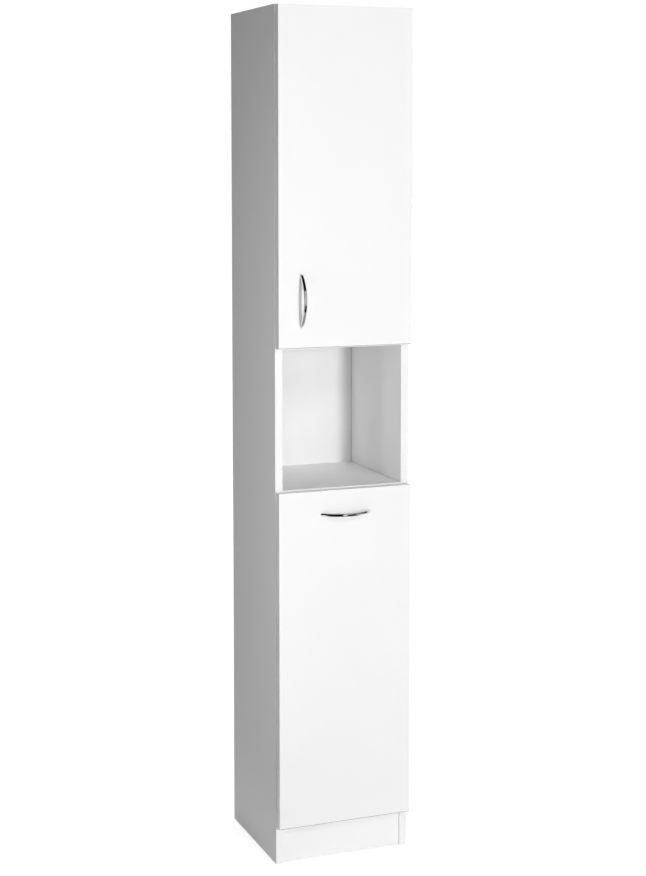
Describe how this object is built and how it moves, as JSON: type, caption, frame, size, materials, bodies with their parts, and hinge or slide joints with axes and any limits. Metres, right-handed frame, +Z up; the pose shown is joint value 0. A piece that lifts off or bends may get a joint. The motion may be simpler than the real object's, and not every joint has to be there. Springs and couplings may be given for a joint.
{
  "type": "tall bathroom cabinet",
  "caption": "Tall narrow bathroom cabinet with a hinged upper door, an open niche and a tilt-out laundry flap that carries a wire basket.",
  "frame": {"origin": "on the floor, in the middle of the whole cabinet's width and depth, handles included", "axes": "+X to the cabinet's right as seen from the front, +Y to its back and the wall, +Z up"},
  "size_m": [0.3, 0.326, 1.8],
  "materials": {
    "white_board": "white melamine facing, satin",
    "back_board": "white lacquer on hardboard",
    "edge_band": "satin edge band",
    "chrome": "polished chrome plating",
    "beech": "fluted beech",
    "white_plastic": "moulded plastic",
    "clear_rubber": "soft clear bumper",
    "coated_wire": "white coated steel wire",
    "zinc": "die-cast zinc",
    "nickel_steel": "nickel-plated steel",
    "zinc_steel": "zinc-plated steel"
  },
  "bodies": {
    "carcass": {"left_side_panel": "white_board", "right_side_panel": "white_board", "side_panel_edge_bands": "edge_band", "top_panel": "white_board", "niche_ceiling_panel": "white_board", "niche_floor_panel": "white_board", "bottom_panel": "white_board", "fixed_panel_edge_bands": "edge_band", "plinth_board": "white_board", "back_panel": "back_board", "cam_housings": "zinc", "cam_bolts": "zinc_steel", "dowels": "beech", "back_panel_nails": "zinc_steel", "floor_glides": "white_plastic", "shelf_1": "white_board", "shelf_2": "white_board", "shelf_edge_bands": "edge_band", "shelf_supports": "white_plastic", "wall_brackets": "zinc_steel", "wall_bracket_screws": "zinc_steel", "stay_studs": "zinc_steel", "door_hinge_plates": "nickel_steel", "door_hinge_plate_screws": "zinc_steel", "door_hinge_arms": "nickel_steel", "door_hinge_arm_screws": "zinc_steel", "flap_hinge_plates": "nickel_steel", "flap_hinge_plate_screws": "zinc_steel", "flap_hinge_arms": "nickel_steel", "flap_hinge_arm_screws": "zinc_steel"},
    "upper_door": {"upper_door_panel": "white_board", "upper_door_edge_bands": "edge_band", "upper_door_handle": "chrome", "upper_door_handle_screws": "zinc_steel", "upper_door_bumpers": "clear_rubber", "door_hinge_cups": "nickel_steel", "door_hinge_cup_screws": "zinc_steel", "door_hinge_pins": "zinc_steel"},
    "lower_flap": {"lower_flap_panel": "white_board", "lower_flap_edge_bands": "edge_band", "lower_flap_handle": "chrome", "lower_flap_handle_screws": "zinc_steel", "lower_flap_bumpers": "clear_rubber", "flap_hinge_cups": "nickel_steel", "flap_hinge_cup_screws": "zinc_steel", "flap_hinge_pins": "zinc_steel", "left_tilt_stay": "zinc_steel", "right_tilt_stay": "zinc_steel", "tilt_stay_screws": "zinc_steel", "basket_front_mat": "coated_wire", "basket_back_mat": "coated_wire", "basket_left_mat": "coated_wire", "basket_right_mat": "coated_wire", "basket_floor_mat": "coated_wire", "basket_clips": "white_plastic", "basket_clip_screws": "zinc_steel"}
  },
  "joints": [
    {"name": "upper_door_hinge", "type": "hinge", "parent": "carcass", "child": "upper_door", "pos_m": [0.1413, -0.1294, 1.44775], "axis": [0, 0, 1], "range_deg": [0, 95]},
    {"name": "lower_flap_hinge", "type": "hinge", "parent": "carcass", "child": "lower_flap", "pos_m": [0, -0.1294, 0.0897], "axis": [1, 0, 0], "range_deg": [0, 38]}
  ]
}
